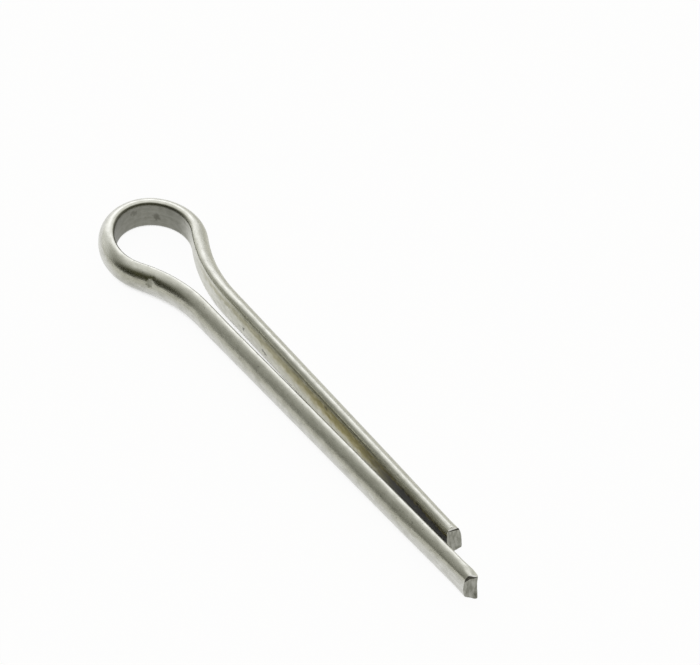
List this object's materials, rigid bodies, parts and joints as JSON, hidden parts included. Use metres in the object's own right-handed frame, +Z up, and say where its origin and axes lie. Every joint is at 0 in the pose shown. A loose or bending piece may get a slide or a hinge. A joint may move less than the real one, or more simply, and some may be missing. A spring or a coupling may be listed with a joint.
{
  "type": "cotter pin",
  "caption": "Split cotter pin of half-round steel wire, folded into a round eye and two legs, with one leg longer than the other.",
  "frame": {"origin": "on the surface that the pin lies on, under the middle of its outline", "axes": "+X from the eye to the tail, +Z up, away from the surface that the pin lies on; the short leg is on the +Y side"},
  "size_m": [0.0501, 0.009, 0.0027],
  "materials": {
    "steel_wire": "bright drawn wire with a thin zinc coat, fairly glossy, with bare grey sheared ends"
  },
  "bodies": {
    "root": {"cotter_pin": "steel_wire"}
  },
  "joints": []
}
